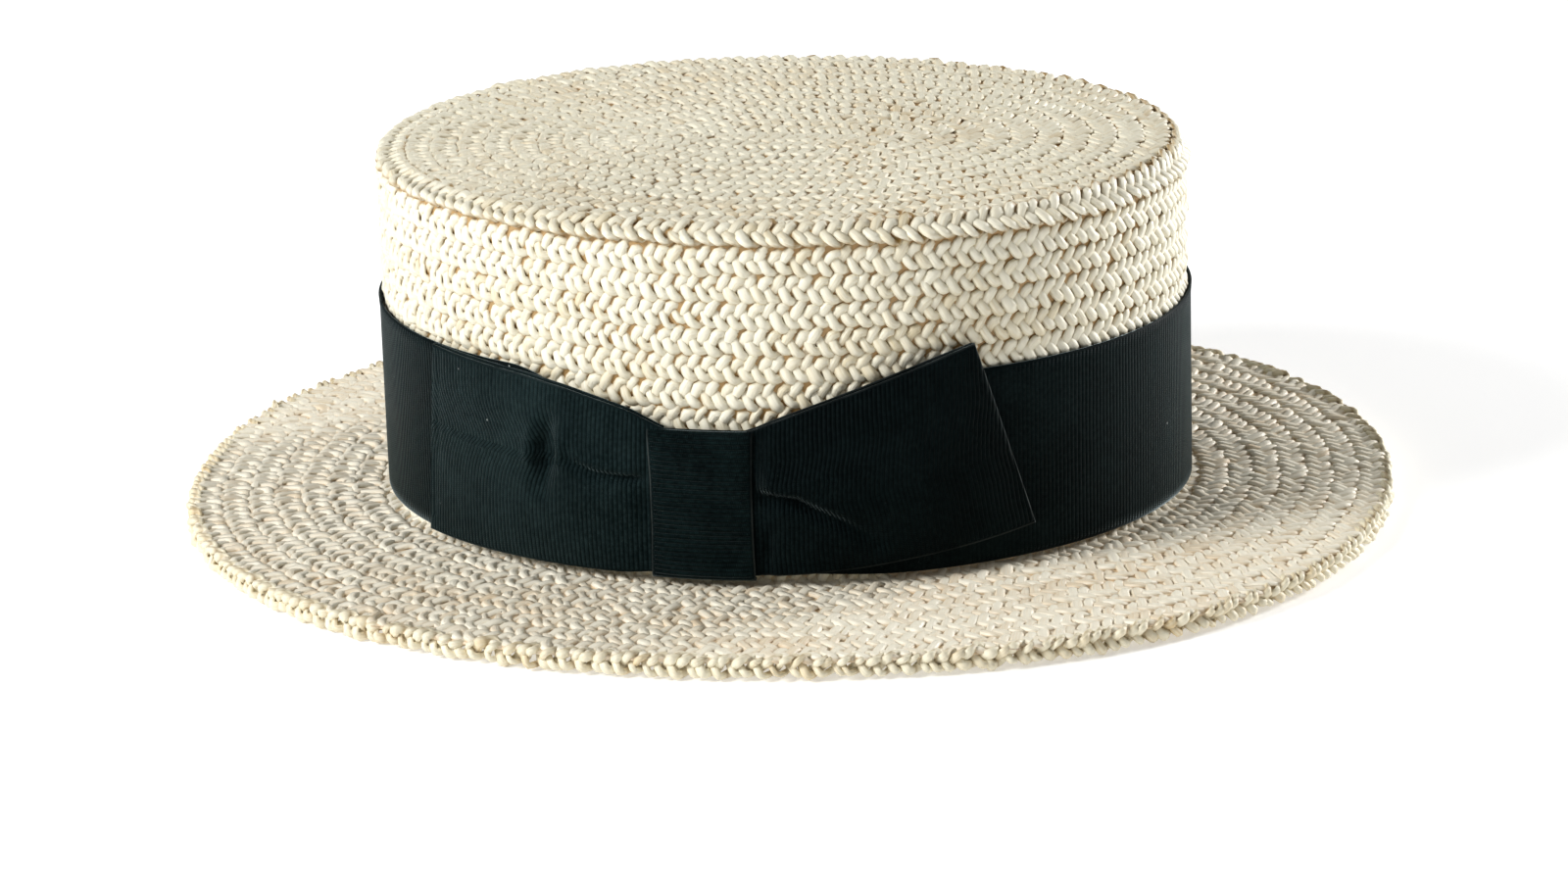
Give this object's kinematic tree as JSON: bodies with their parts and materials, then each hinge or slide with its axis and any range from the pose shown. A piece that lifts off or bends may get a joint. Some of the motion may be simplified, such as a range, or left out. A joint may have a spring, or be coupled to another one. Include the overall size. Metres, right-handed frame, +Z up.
{
  "type": "straw boater hat",
  "caption": "Oval straw boater with an upright flat-topped crown, a flat brim with a turned-down edge, and a dark ribbon band with a flat side bow.",
  "frame": {"origin": "centre of the hat on the surface that its turned-down brim edge rests on", "axes": "+Z up, -X towards the wearer's face, -Y towards the wearer's left side with the bow"},
  "size_m": [0.306, 0.27, 0.0943],
  "materials": {
    "crown_straw": "bleached straw plait, sewn in rows",
    "brim_straw": "bleached straw plait, sewn in rows",
    "edge_straw": "bleached straw plait, one loose row",
    "band_ribbon": "black grosgrain, fine upright ribs",
    "bow_ribbon": "black grosgrain, fine upright ribs",
    "knot_ribbon": "black grosgrain, fine level ribs"
  },
  "bodies": {
    "root": {"crown": "crown_straw", "brim": "brim_straw", "brim_edge_row": "edge_straw", "hat_band": "band_ribbon", "bow_loop_front": "bow_ribbon", "bow_loop_back": "bow_ribbon", "bow_knot": "knot_ribbon"}
  },
  "joints": []
}
